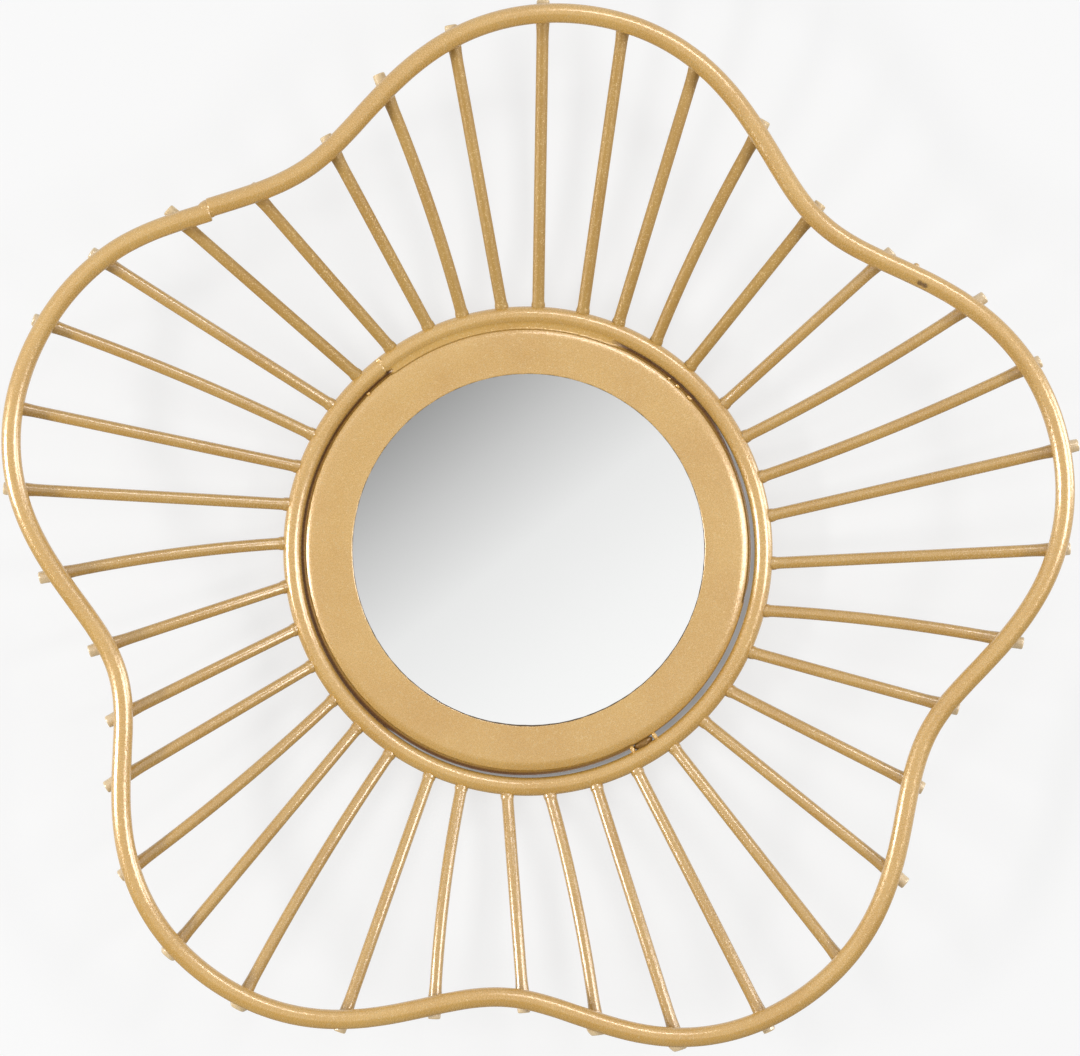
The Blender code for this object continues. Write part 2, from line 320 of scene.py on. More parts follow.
def gold_paint(name, shade=1.0, roughness=0.27, metal=0.08, gloss=2.0, coat=0.5,
               coat_roughness=0.13, burns_and_shade=(), deep_shade=(), pale=None):
    """Gold lacquer with glitter in it: each flake is a cell with a tilt and a shade of its own.

    The colour drifts a little over a few centimetres and the clear top has the fine ripple of
    sprayed paint. Where it has a burn, or a painted shade in a notch, it darkens from a point out
    to a reach: burns_and_shade is a list of such points and reaches. Where it lies deep, it
    darkens
    to brown as painted shade: deep_shade is a list of places along Y and the brown's share at
    each. Where the attribute named by pale is 1, it is paler, as painted light.
    """
    made, node, link, shader = material_nodes(name)
    place = node("ShaderNodeTexCoord")
    flakes = node("ShaderNodeTexVoronoi")
    flakes.inputs["Scale"].default_value = FLAKE_SCALE
    link(place.outputs["Object"], flakes.inputs["Vector"])
    own_tones = node("ShaderNodeSeparateColor")
    link(flakes.outputs["Color"], own_tones.inputs[0])

    drift = carried(node, link, noise(node, link, place, DRIFT_SCALE, 3.0), (0.35, 0.65))
    # shade scales the colour: below 1 it is painted shade, above 1 painted highlight.
    deep, plain = ([shade * part for part in gold[:3]] + [1.0] for gold in (GOLD_DEEP, GOLD))
    colour = laid_over(node, link, deep, plain, drift)
    glint = carried(node, link, own_tones.outputs["Red"], (0.84, 1.0), (0.0, GLINT_SHARE))
    colour = laid_over(node, link, colour, GOLD_GLINT, glint)
    # Burns in the paint, and painted shade in the ring joint's notch.
    for centre, reach in burns_and_shade:
        away = vector_step(node, link, "DISTANCE", place.outputs["Object"], centre)
        share = carried(node, link, away.outputs["Value"], (reach, DARK_SPOT_CORE * reach),
                        (0.0, DARK_SPOT_SHARE), smooth=True)
        colour = laid_over(node, link, colour, BURN_AND_SHADE_DARK, share)
    # Painted light: paler where the attribute says, on the spoke stubs.
    if pale:
        stub_lighten = node("ShaderNodeAttribute")
        stub_lighten.attribute_name = pale
        colour = laid_over(node, link, colour, STUB_PALE, stub_lighten.outputs["Fac"])
    # Painted shade: the paint darkens to brown by depth along Y, where it lies deep between parts.
    if deep_shade:
        split = node("ShaderNodeSeparateXYZ")
        link(place.outputs["Object"], split.inputs[0])
        near, far = deep_shade[0][0], deep_shade[-1][0]
        depth = carried(node, link, split.outputs["Y"], (near, far))
        stops = [((y - near) / (far - near), grey(share)) for y, share in deep_shade]
        painted_shade = read_ramp(node, link, depth, stops)
        colour = laid_over(node, link, colour, SHADE_BROWN, painted_shade)
    link(colour, shader.inputs["Base Color"])

    ripple = noise(node, link, place, RIPPLE_SCALE, 1.0)
    rippled = relief(node, link, ripple, RIPPLE_STRENGTH, RIPPLE_DEPTH)
    link(rippled, shader.inputs["Coat Normal"])
    centred = vector_step(node, link, "SUBTRACT", flakes.outputs["Color"], (0.5, 0.5, 0.5))
    tilt = vector_step(node, link, "SCALE", centred.outputs["Vector"])
    tilt.inputs["Scale"].default_value = FLAKE_TILT
    tilted = vector_step(node, link, "ADD", rippled, tilt.outputs["Vector"])
    unit = vector_step(node, link, "NORMALIZE", tilted.outputs["Vector"])
    link(unit.outputs["Vector"], shader.inputs["Normal"])

    sheen = carried(node, link, own_tones.outputs["Green"], (0.0, 1.0),
                    (roughness + FLAKE_DULL, roughness - FLAKE_KEEN))
    link(sheen, shader.inputs["Roughness"])
    lustre = carried(node, link, own_tones.outputs["Red"], (0.80, 1.0),
                     (metal, metal + FLAKE_METAL))
    link(lustre, shader.inputs["Metallic"])
    shader.inputs["Coat Weight"].default_value = coat
    shader.inputs["Coat Roughness"].default_value = coat_roughness
    shader.inputs["Coat IOR"].default_value = 1.6
    shader.inputs["IOR"].default_value = gloss
    return made


def quarter(centre, radius, start, end, steps):
    """Points on an arc of a turned profile, as radius and y."""
    turn = np.radians(np.linspace(start, end, steps))
    return np.stack([centre[0] + radius * np.cos(turn), centre[1] + radius * np.sin(turn)], -1)


def mirror_frame():
    """The sheet's section: the lip's quarter round, the crowned band, the corner's quarter oval
    and the wall, then back along the inside. The lip's radius wavers by a sum of three waves,
    and towards the lip all points move over by the opening's shift."""
    low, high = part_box("mirror_frame")
    outer, front, rear = high[0], low[1], high[1]
    corner = (outer - FRAME_CORNER, front + FRAME_CORNER)
    lip = (BAND_INNER_RADIUS + LIP_ROUND, front + LIP_ROUND)
    band = np.linspace(0.0, 1.0, 14)[1:-1]
    flat = np.stack([lip[0] + (outer - CORNER_ACROSS - lip[0]) * band,
                     front + BAND_CROWN * (2.0 * band - 1.0) ** 2], -1)
    lip_round = quarter(lip, LIP_ROUND, -180.0, -90.0, 9)
    lip_round[:, 1] += BAND_CROWN
    corner_round = quarter(corner, FRAME_CORNER, -90.0, 0.0, 19)
    corner_round[:, 0] = outer - (outer - corner_round[:, 0]) * CORNER_ACROSS / FRAME_CORNER
    fall = BAND_CROWN * (1.0 - (corner_round[:, 1] - front) / FRAME_CORNER)
    corner_round[:, 1] += fall
    wall = np.linspace(corner[1], rear, 7)[1:]
    outside = np.stack([np.full_like(wall, outer), wall], -1)
    inside = np.stack([np.full_like(wall, outer - FRAME_SHEET), wall[::-1]], -1)
    inner_corner = quarter(corner, FRAME_CORNER - FRAME_SHEET, 0.0, -90.0, 8)
    under = np.array([(lip[0], front + FRAME_SHEET + BAND_CROWN),
                      (BAND_INNER_RADIUS, front + FRAME_SHEET + BAND_CROWN)])
    profile = np.concatenate([lip_round, flat, corner_round, outside, inside, inner_corner, under])
    grid = turned_grid(profile, FRAME_TURNS)
    turn = np.linspace(0.0, 2 * math.pi, FRAME_TURNS, endpoint=False)
    waver = np.sin(23 * turn) + np.sin(57 * turn + 1.0) + np.sin(91 * turn + 4.0)
    near_lip = np.clip(1.0 - (profile[:, 0] - BAND_INNER_RADIUS) / FRAME_SHEET, 0.0, 1.0)
    grow = 1.0 + LIP_WAVER / BAND_INNER_RADIUS * near_lip[:, None] * waver[None] / 3.0
    grid[..., 0] *= grow
    grid[..., 2] *= grow
    shifted = np.clip((corner[0] - profile[:, 0]) / (corner[0] - BAND_INNER_RADIUS), 0.0, 1.0)
    grid[..., 0] += OPENING_SHIFT[0] * shifted[:, None]
    grid[..., 2] += OPENING_SHIFT[1] * shifted[:, None]
    # Painted shade: the frame's side darkens to brown in the gap beside the ring.
    shade_beside_ring = [(front + behind, share) for behind, share in SHADE_BESIDE_RING]
    return new_piece("frame_band", grid.reshape(-1, 3), grid_faces(*grid.shape[:2], ring=True),
                     gold_paint("frame_paint", roughness=0.30, deep_shade=shade_beside_ring))


frame_band = mirror_frame()
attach(frame_band, "root")
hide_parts("mirror_frame")


# Lip line. A dark, uneven hairline ring laid on the glass at the lip, widest at the bottom:
# painted shade for the dark gap seen between the lip and its reflection in the glass.
LINE_WIDTH = 0.00024
LINE_UNEVEN = 0.15           # the width wavers by about this share
LINE_WIDER = 0.00010         # the bottom is wider by this much
LINE_BOTTOM = 0.30           # over this many radians to either side
LINE_FADE = 0.45             # the width falls by twice this share from the bottom to the top
LINE_LEAN = 0.25
LINE_THICKNESS = 0.00008
LINE_SHADE_DARK = (0.085, 0.055, 0.028, 1.0)


def lip_line():
    """A flat ring on the glass. Its inner edge wavers by a sum of waves that don't repeat."""
    made, _, _, shader = material_nodes("lip_painted_shade")
    shader.inputs["Base Color"].default_value = LINE_SHADE_DARK
    shader.inputs["Roughness"].default_value = 0.5
    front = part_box("mirror_glass")[0][1]
    turn = np.linspace(0.0, 2 * math.pi, FRAME_TURNS, endpoint=False)
    waver = np.sin(17 * turn) * np.sin(29 * turn + 1.0) + 0.5 * np.sin(83 * turn + 2.0)
    bottom = np.exp(-((turn - 1.5 * math.pi) / LINE_BOTTOM) ** 2)
    fading = 1.0 - LINE_FADE - LINE_FADE * np.sin(turn - LINE_LEAN)
    width = LINE_WIDTH * fading * (1.0 - LINE_UNEVEN + LINE_UNEVEN * waver)
    inner = BAND_INNER_RADIUS - width - LINE_WIDER * bottom
    outer = np.full_like(turn, BAND_INNER_RADIUS + FRAME_SHEET / 2)
    rows = []
    for radius, depth in ((inner, front), (inner, front - LINE_THICKNESS),
                          (outer, front - LINE_THICKNESS), (outer, front)):
        rows.append(np.stack([OPENING_SHIFT[0] + radius * np.cos(turn), np.full_like(turn, depth),
                              OPENING_SHIFT[1] + radius * np.sin(turn)], -1))
    grid = np.stack(rows)
    return new_piece("lip_line", grid.reshape(-1, 3), grid_faces(*grid.shape[:2], ring=True), made)


hairline = lip_line()
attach(hairline, "root")


# Hanging loop. A short plain steel wire bent to a U, spot-welded at both ends to the inside of
# the frame's wall at the top, behind, for a nail or a hook.
LOOP_STEEL = (0.60, 0.585, 0.55, 1.0)
LOOP_OXIDE = (0.36, 0.33, 0.29, 1.0)
LOOP_EDGE = 0.0002


def drawn_wire():
    """Bare drawn steel with a dull oxide bloom."""
    made, node, link, shader = material_nodes("drawn_wire")
    bloom = noise(node, link, node("ShaderNodeTexCoord"), 420.0, 5.0)
    link(carried(node, link, bloom, (0.0, 1.0), (0.25, 0.50)), shader.inputs["Roughness"])
    link(laid_over(node, link, LOOP_STEEL, LOOP_OXIDE, bloom), shader.inputs["Base Color"])
    shader.inputs["Metallic"].default_value = 1.0
    return made


def corners_of(node):
    """A CAD node's corners, each once."""
    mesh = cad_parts[node].data
    places = np.empty(len(mesh.vertices) * 3)
    mesh.vertices.foreach_get("co", places)
    return np.unique(places.reshape(-1, 3).round(6), axis=0)


def along(points, stops):
    """Points at the given shares of a path's length, the path being straight between points."""
    run = np.concatenate([[0.0], np.cumsum(np.linalg.norm(np.diff(points, axis=0), axis=1))])
    return np.stack([np.interp(stops * run[-1], run, points[:, axis]) for axis in range(3)], -1)


def rod_grid(line, thickness, sides):
    """A round section carried along a line, one ring of points for each point of the line.

    A ring's two axes are the line's level side, square to its run and to Y, and the direction
    square to both.
    """
    run = np.gradient(line, axis=0)
    run /= np.linalg.norm(run, axis=1, keepdims=True)
    side = np.cross(run, (0.0, 1.0, 0.0))
    side /= np.linalg.norm(side, axis=1, keepdims=True)
    up = np.cross(side, run)
    turn = np.linspace(0.0, 2 * math.pi, sides, endpoint=False)[None, :, None]
    radius = np.broadcast_to(thickness, len(line))[:, None, None] / 2
    return line[:, None] + radius * (np.cos(turn) * side[:, None] + np.sin(turn) * up[:, None])


def worn_ends(length, edge, count, steps=5):
    """Shares of a rod's length, and the share of its thickness there: the full thickness but
    for a quarter circle of the given radius at both ends. Thickness falls by the edge, not
    to nothing, so that a flat cut end is left."""
    bend = np.linspace(0.0, math.pi / 2, steps)
    near = edge * (1.0 - np.cos(bend))
    middle = np.linspace(edge, length - edge, count)[1:-1]
    stops = np.concatenate([near, middle, length - near[::-1]]) / length
    loss = edge * (1.0 - np.sin(bend))
    return stops, np.concatenate([loss, np.zeros(len(middle)), loss[::-1]])


def hanging_loop():
    """The U's line: two legs and a half circle, read from the solid's own size."""
    low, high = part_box("hanging_loop")
    thickness = high[1] - low[1]
    radius = (high[0] - low[0] - thickness) / 2
    bend_height = low[2] + thickness / 2 + radius
    stand_off = (low[1] + high[1]) / 2
    turn = np.linspace(0.0, -math.pi, 40)
    bend = np.stack([radius * np.cos(turn), np.full_like(turn, stand_off),
                     bend_height + radius * np.sin(turn)], -1)
    legs = np.array([[(radius, stand_off, high[2])], [(-radius, stand_off, high[2])]])
    path = np.concatenate([legs[0], bend, legs[1]])
    length = np.linalg.norm(np.diff(path, axis=0), axis=1).sum()
    stops, loss = worn_ends(length, LOOP_EDGE, 90)
    grid = rod_grid(along(path, stops), thickness - 2 * loss, 20)
    return new_piece("loop", closed_points(grid), grid_faces(*grid.shape[:2]), drawn_wire())


loop = hanging_loop()
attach(loop, "root")
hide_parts("hanging_loop")


# Hub ring. One steel rod bent to a ring round the frame, its ends butted and welded at the upper
# left, and painted with the rest.
RING_SIDES = 28
RING_JOINT_GROOVE = 0.00009  # the weld's seam is this much lower than the rod
RING_JOINT_WIDTH = 0.00025
RING_JOINT_FINE = 0.004      # share of the rod's length at either end that has finer steps
RING_NOTCH = 0.0011          # reach of the dark spot painted on the inside of the seam, as painted shade of its notch
RING_NOTCH_FORWARD = 0.0008
ROD_EDGE = 0.0004


def front_line(node):
    """The middle of a bent rod as seen from the front: its solid has one corner there for each
    section. They are put in order round the flower's middle, from the gap between the ends."""
    corners = corners_of(node)
    front = corners[corners[:, 1] < corners[:, 1].min() + 0.00002]
    turn = np.arctan2(front[:, 2], front[:, 0])
    order = np.argsort(turn)
    front, turn = front[order], turn[order]
    steps = np.diff(np.concatenate([turn, turn[:1] + 2 * math.pi]))
    return np.roll(front, -(int(np.argmin(steps)) + 1), axis=0)


ring_low, ring_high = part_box("hub_ring")
RING_ROD = ring_high[1] - ring_low[1]
ring_line = front_line("hub_ring") + (0.0, RING_ROD / 2, 0.0)
HUB = ring_line[:-1].mean(0)
RING_RADIUS = np.linalg.norm(ring_line - HUB, axis=1).mean()


def hub_ring():
    """A circle from one side of the joint to the other. A narrow groove marks the joint."""
    start = math.atan2(*(ring_line[0] - HUB)[[2, 0]])
    turn = start + np.linspace(0.0, 2 * math.pi, 721)
    circle = np.stack([HUB[0] + RING_RADIUS * np.cos(turn), np.full_like(turn, HUB[1]),
                       HUB[2] + RING_RADIUS * np.sin(turn)], -1)
    fine = np.linspace(0.0, 1.0, 12) ** 2 * RING_JOINT_FINE
    even = np.linspace(RING_JOINT_FINE, 1.0 - RING_JOINT_FINE, 360)[1:-1]
    stops = np.concatenate([fine, even, 1.0 - fine[::-1]])
    from_joint = np.minimum(stops, 1.0 - stops) * 2 * math.pi * RING_RADIUS
    groove = RING_JOINT_GROOVE * np.exp(-(from_joint / RING_JOINT_WIDTH) ** 2)
    grid = rod_grid(along(circle, stops), RING_ROD - 2 * groove, RING_SIDES)
    # A dark spot painted on the inside of the joint: painted shade for the seam's notch.
    inside = HUB + (circle[0] - HUB) * (1.0 - RING_ROD / 2 / RING_RADIUS)
    notch = inside - (0.0, RING_NOTCH_FORWARD, 0.0)
    return new_piece("ring", closed_points(grid), grid_faces(*grid.shape[:2]),
                     gold_paint("ring_paint", burns_and_shade=[(tuple(notch), RING_NOTCH)]))


ring = hub_ring()
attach(ring, "root")
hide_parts("hub_ring")


# Ring's fixing. Braze and paint fill the gap between the frame and the ring, nearly flush over
# the top and deep elsewhere, where the fill darkens to brown the deeper it lies: painted shade of
# the gap. Further round they cling to the frame's side and leave a thin opening, and one long
# tack holds the lower right. FILL_REACH is the share of the gap's width that is filled, by angle.
FILL_REACH = ((-14.0, 0.05), (-8.0, 0.35), (22.0, 0.42), (36.0, 1.0), (231.0, 1.0), (234.5, 0.74),
              (262.0, 0.68), (284.0, 0.45), (298.5, 0.40))
FLUSH_FROM, FLUSH_TO = 66.0, 127.0
FLUSH_SLOW, FLUSH_QUICK = 4.0, 1.0      # it comes in slowly and ends almost at once
FLUSH_BACK = 0.0007          # the flush stretch lies this far behind the ring's front
FRAME_SIDE_BACK = 0.0010     # and the rest lies this far behind it at the frame
RING_SIDE_BACK = 0.0018      # and this far at the ring
FILL_SAG = 0.00018
FILL_DEPTH = 0.0012
TACK_ANGLE = 301.0
TACK_LENGTH, TACK_DEPTH = 0.0054, 0.0030
TACK_BACK = 0.0024
TACK_BEADS = (297.8, 304.4)
BEAD_SIZE = 0.0006
BITE = 0.0004                # the tack or its beads reach this far into both sides of the gap
SPATTER = ((43.0, 0.0008), (47.3, 0.0006), (50.2, 0.0004), (135.5, 0.0005))
SPATTER_BACK = 0.0009
SPATTER_ACROSS = 0.00032
JOINT_DROP = 0.00055
JOINT_DROP_OUT = 0.0013      # a drop of weld on the ring's joint, this far out from its middle
LUMP_UNEVEN = 0.07


def round_place(angle, radius, depth):
    """A point at an angle and a radius about the mirror's axis, and at a depth from the wall."""
    turn = math.radians(angle)
    return np.array([radius * math.cos(turn), -depth, radius * math.sin(turn)])


def lumps(name, centres, half_axes, finish):
    """One mesh of several lumps, each a ball stretched along three half axes and a bit uneven."""
    down = np.linspace(0.0, math.pi, 13)[1:-1, None]
    around = np.linspace(0.0, 2 * math.pi, 18, endpoint=False)[None, :]
    points, faces = [], []
    for number, (centre, axes) in enumerate(zip(centres, half_axes)):
        uneven = 1.0 + LUMP_UNEVEN * np.sin(3 * around + number) * np.sin(2 * down + 2 * number)
        ball = np.stack([np.sin(down) * np.cos(around), np.sin(down) * np.sin(around),
                         np.cos(down) * np.ones_like(around)], -1)
        grid = centre + (ball * uneven[..., None]) @ np.array(axes)
        faces += grid_faces(*grid.shape[:2], first=len(points) * (down.size * around.size + 2))
        points.append(closed_points(grid))
    return new_piece(name, np.concatenate(points), faces, finish, sharp=80.0)


def ring_axes(angle, along_ring, across, depth):
    """A lump's half axes at an angle of the ring: along it, outwards and towards the wall."""
    turn = math.radians(angle)
    return [(-math.sin(turn) * along_ring, 0.0, math.cos(turn) * along_ring),
            (math.cos(turn) * across, 0.0, math.sin(turn) * across), (0.0, depth, 0.0)]


def smooth_step(value, start, end):
    """0 before the start and 1 after the end, with the curve 3s^2 - 2s^3 between them."""
    share = np.clip((value - start) / (end - start), 0.0, 1.0)
    return share * share * (3.0 - 2.0 * share)


def gap_walls(turn, depth):
    """The radii of the frame's side and of the ring's inner side at an angle and a distance
    from the wall. The frame's corner is taken as a quarter circle, as in its solid, and the
    ring has its round section."""
    outer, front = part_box("mirror_frame")[1][0], -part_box("mirror_frame")[0][1]
    rise = np.clip(depth - (front - FRAME_CORNER), 0.0, FRAME_CORNER)
    frame_side = outer - FRAME_CORNER + np.sqrt(FRAME_CORNER ** 2 - rise ** 2)
    centre = RING_RADIUS + HUB[0] * np.cos(turn) + HUB[2] * np.sin(turn)
    off = np.clip(depth + HUB[1], -RING_ROD / 2, RING_ROD / 2)
    return frame_side, centre - np.sqrt((RING_ROD / 2) ** 2 - off ** 2)


def ring_braze():
    """A strip along the gap, from the frame's side over a share of the gap's width that changes
    with the angle. Its face runs straight but for a sag, flush with both sides over the top and
    sloping down towards the ring elsewhere, with smooth steps at the ends of the flush stretch."""
    reach_angles, reach_shares = zip(*FILL_REACH)
    angle = np.linspace(reach_angles[0], reach_angles[-1], 780)
    turn = np.radians(angle)
    reach = np.interp(angle, reach_angles, reach_shares)
    flush = smooth_step(angle, FLUSH_FROM - FLUSH_SLOW, FLUSH_FROM + FLUSH_SLOW)
    end = smooth_step(angle, FLUSH_TO - FLUSH_QUICK, FLUSH_TO + 1.5 * FLUSH_QUICK)
    flush = flush * (1.0 - end)
    ring_front = -ring_low[1]
    low_face = ring_front - FRAME_SIDE_BACK + (FRAME_SIDE_BACK - FLUSH_BACK) * flush
    high_face = ring_front - RING_SIDE_BACK + (RING_SIDE_BACK - FLUSH_BACK) * flush
    low_side, high_side = gap_walls(turn, low_face)[0], gap_walls(turn, high_face)[1]
    rows = []
    for share in np.linspace(0.0, 1.0, 9):
        sag = FILL_SAG * 4.0 * share * (1.0 - share)
        rows.append((low_side + (high_side - low_side) * share * reach,
                     low_face + (high_face - low_face) * share * reach - sag))
    behind_low = gap_walls(turn, low_face - FILL_DEPTH)[0]
    behind_high = gap_walls(turn, high_face - FILL_DEPTH)[1]
    rows.append((behind_low + (behind_high - behind_low) * reach, high_face - FILL_DEPTH))
    rows.append((behind_low, low_face - FILL_DEPTH))
    grid = np.stack([np.stack([radius * np.cos(turn), -depth, radius * np.sin(turn)], -1)
                     for radius, depth in rows], 1)
    # Painted shade: the fill turns brown the deeper it lies, and its colour is set a tenth darker
    # than the ring's paint.
    painted_shade = ((ring_low[1] + FLUSH_BACK + 0.0003, 0.0), (ring_low[1] + FRAME_SIDE_BACK, 0.25),
                (ring_low[1] + RING_SIDE_BACK - 0.0003, 1.0))
    finish = gold_paint("fill_paint", shade=0.9, gloss=1.6, coat=0.1, deep_shade=painted_shade)
    return new_piece("ring_braze", closed_points(grid), grid_faces(*grid.shape[:2]), finish,
                     sharp=60.0)


def gap_lump(angle, back, along_ring, deep):
    """The middle and the half axes of a lump that joins both sides of the gap at an angle."""
    depth = -ring_low[1] - back
    frame_side, ring_side = gap_walls(np.radians(angle), np.array(depth))
    across = (ring_side - frame_side) / 2 + BITE
    place = round_place(angle, (frame_side + ring_side) / 2, depth)
    return place, ring_axes(angle, along_ring, across, deep)


def ring_tack():
    """A long tack at the lower right, painted brown, darker further into the gap as painted shade.
    """
    place, axes = gap_lump(TACK_ANGLE, TACK_BACK, TACK_LENGTH / 2, TACK_DEPTH / 2)
    painted_shade = ((ring_low[1] + TACK_BACK - TACK_DEPTH / 2, 0.7), (ring_low[1] + TACK_BACK, 1.0))
    finish = gold_paint("tack_paint", gloss=1.4, coat=0.2, deep_shade=painted_shade)
    return lumps("ring_tacks", [place], [axes], finish)


def ring_spatter():
    """Beads at the tack's ends, short runs of braze along the frame's side, and one proud drop
    on the ring's own joint."""
    places, axes = [], []
    for angle in TACK_BEADS:
        place, half_axes = gap_lump(angle, TACK_BACK - BEAD_SIZE, BEAD_SIZE, 1.5 * BEAD_SIZE)
        places.append(place)
        axes.append(half_axes)
    depth = -ring_low[1] - SPATTER_BACK
    for angle, size in SPATTER:
        side = gap_walls(np.radians(angle), np.array(depth))[0]
        places.append(round_place(angle, side + SPATTER_ACROSS / 2, depth))
        axes.append(ring_axes(angle, size, SPATTER_ACROSS, SPATTER_ACROSS))
    joint = math.degrees(math.atan2(*(ring_line[0] - HUB)[[2, 0]]))
    front = RING_ROD / 2 * math.sqrt(1.0 - (2 * JOINT_DROP_OUT / RING_ROD) ** 2)
    places.append(HUB + round_place(joint, RING_RADIUS + JOINT_DROP_OUT, front))
    axes.append(ring_axes(joint, JOINT_DROP, 1.5 * JOINT_DROP, JOINT_DROP / 2))
    # The spatter's paint is set a fifth lighter than the rest: painted highlight for the small
    # bright glints of these beads and runs.
    return lumps("ring_spatter", places, axes, gold_paint("spatter_paint", shade=1.2))


for piece in (ring_braze(), ring_tack(), ring_spatter()):
    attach(piece, "root")


# Spokes. Thirty-seven thin steel rods, cut square by shears. Each was welded end-on to the
# outside of the ring, where a small collar of melted steel was left, and laid behind the petal
# rod. Those at the top are duller, because the paint went on half dry there, and their colour is
# set darker as painted shade, since they face down, away from the light. All spokes are set a
# little darker than the frame's paint, as painted shade too.
SPOKE_COUNT = 37
SPOKE_SIDES = 18
SPOKE_ROD = 0.0030
SPOKE_EDGE = 0.00035
SPOKE_ROOT = 0.0016          # a spoke's root reaches this far into the ring
ROOT_FINE = 0.003            # and its steps are finer up to this far outside it
BEAD_AT = 0.0005             # the weld bead's distance from the ring's side
BEAD_PROUD = 0.00005
BEAD_WIDTH = 0.00022
CROSSING_PROUD = 0.00028     # the weld widens a spoke by this much behind the petal rod
CROSSING_REACH = 0.0030
BROAD_WEBS = (24, 25, 29, 30)
WEB_PROUD = 0.0010           # four of them end in a broad web of weld outside the rod
WEB_AT = 0.0022
WEB_REACH = 0.0013
STUB_FROM, STUB_TO = 0.0016, 0.0030
STUB_LIGHTEN = 0.6              # share of painted light, a paler colour, on the stubs outside the petal rod
# Spokes between these angles get the duller paint, set darker as painted shade.
DULL_SHADE_FROM, DULL_SHADE_TO = 40.0, 136.0
ROOT_FLARE = 0.00022         # the paint and weld widen the root by this much at the ring
ROOT_FLARE_REACH = 0.0007


def spoke_line(node):
    """A spoke's run: a curve of the second degree through the middles of its solid's sections,
    each of which has eight corners."""
    corners = corners_of(node)
    middle = corners.mean(0)
    direction = np.linalg.svd(corners - middle, full_matrices=False)[2][0]
    direction = direction * np.sign(direction[[0, 2]] @ (middle - HUB)[[0, 2]])
    place = (corners - middle) @ direction
    order = np.argsort(place)
    sections = corners[order].reshape(-1, 8, 3).mean(1)
    run = np.concatenate([[0.0], np.cumsum(np.linalg.norm(np.diff(sections, axis=0), axis=1))])
    bends = np.polyfit(run, sections, 2)
    return bends, run[-1]


def smooth_path(points, parts):
    """A curve through all the points: between two of them, a cubic that leaves along the line
    from the one before to the one after, and arrives in the same way."""
    before = np.concatenate([2 * points[:1] - points[1:2], points[:-1]])
    after = np.concatenate([points[1:], 2 * points[-1:] - points[-2:-1]])
    lean = (after - before) / 2
    step = np.linspace(0.0, 1.0, parts, endpoint=False)[None, :, None]
    start, end = points[:-1, None], points[1:, None]
    leave, arrive = lean[:-1, None], lean[1:, None]
    curve = ((2 * step ** 3 - 3 * step ** 2 + 1) * start
             + (step ** 3 - 2 * step ** 2 + step) * leave
             + (3 * step ** 2 - 2 * step ** 3) * end + (step ** 3 - step ** 2) * arrive)
    return np.concatenate([curve.reshape(-1, 3), points[-1:]])


def crossing_of(bends, length):
    """How far along a spoke it passes behind the petal rod, and the place on the rod there."""
    run = np.linspace(0.6 * length, length, 400)
    line = np.stack([run ** 2, run, np.ones_like(run)], -1) @ bends
    away = np.linalg.norm((line[:, None] - petal_line[None])[..., [0, 2]], axis=2)
    at, on_rod = np.unravel_index(np.argmin(away), away.shape)
    return run[at], line[at], on_rod


def spoke(number, finish):
    """A rod along the curve, begun inside the ring. Its thickness is that of the solid, plus
    bell curves for the welds: a flare and a bead at the ring, and a swelling at the petal rod."""
    node = f"spoke_{number:02d}"
    bends, length = spoke_line(node)
    crossing, _, _ = crossing_of(bends, length)
    whole = length + SPOKE_ROOT
    root = np.linspace(0.0, SPOKE_ROOT + ROOT_FINE, 80)
    free = np.linspace(root[-1], whole - SPOKE_EDGE, 120)[1:-1]
    bend = np.linspace(0.0, math.pi / 2, 6)
    end = whole - SPOKE_EDGE * (1.0 - np.sin(bend))
    run = np.concatenate([root, free, end]) - SPOKE_ROOT
    powers = np.stack([run ** 2, run, np.ones_like(run)], -1)
    line = powers @ bends
    loss = np.concatenate([np.zeros(len(root) + len(free)), SPOKE_EDGE * (1.0 - np.cos(bend))])
    flare = ROOT_FLARE * np.exp(-(np.maximum(run, 0.0) / ROOT_FLARE_REACH) ** 1.5)
    bead = BEAD_PROUD * np.exp(-((run - BEAD_AT) / BEAD_WIDTH) ** 2)
    weld = CROSSING_PROUD * np.exp(-((run - crossing) / CROSSING_REACH) ** 2)
    if number in BROAD_WEBS:
        weld = weld + WEB_PROUD * np.exp(-((run - crossing - WEB_AT) / WEB_REACH) ** 2)
    grid = rod_grid(line, SPOKE_ROD + 2 * (flare + bead + weld - loss), SPOKE_SIDES)
    made = new_piece(f"spoke_rod_{number:02d}", closed_points(grid),
                     grid_faces(*grid.shape[:2]), finish)
    # Painted light: the stub outside the petal rod turns paler.
    stub_lighten = STUB_LIGHTEN * smooth_step(run, crossing + STUB_FROM, crossing + STUB_TO)
    share = np.concatenate([np.repeat(stub_lighten, SPOKE_SIDES), stub_lighten[:1], stub_lighten[-1:]])
    made.data.attributes.new("stub_painted_light", "FLOAT", "POINT").data.foreach_set("value", share)
    return made


petal_low, petal_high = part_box("petal_wire")
PETAL_ROD = petal_high[1] - petal_low[1]
petal_line = smooth_path(front_line("petal_wire") + (0.0, PETAL_ROD / 2, 0.0), 12)
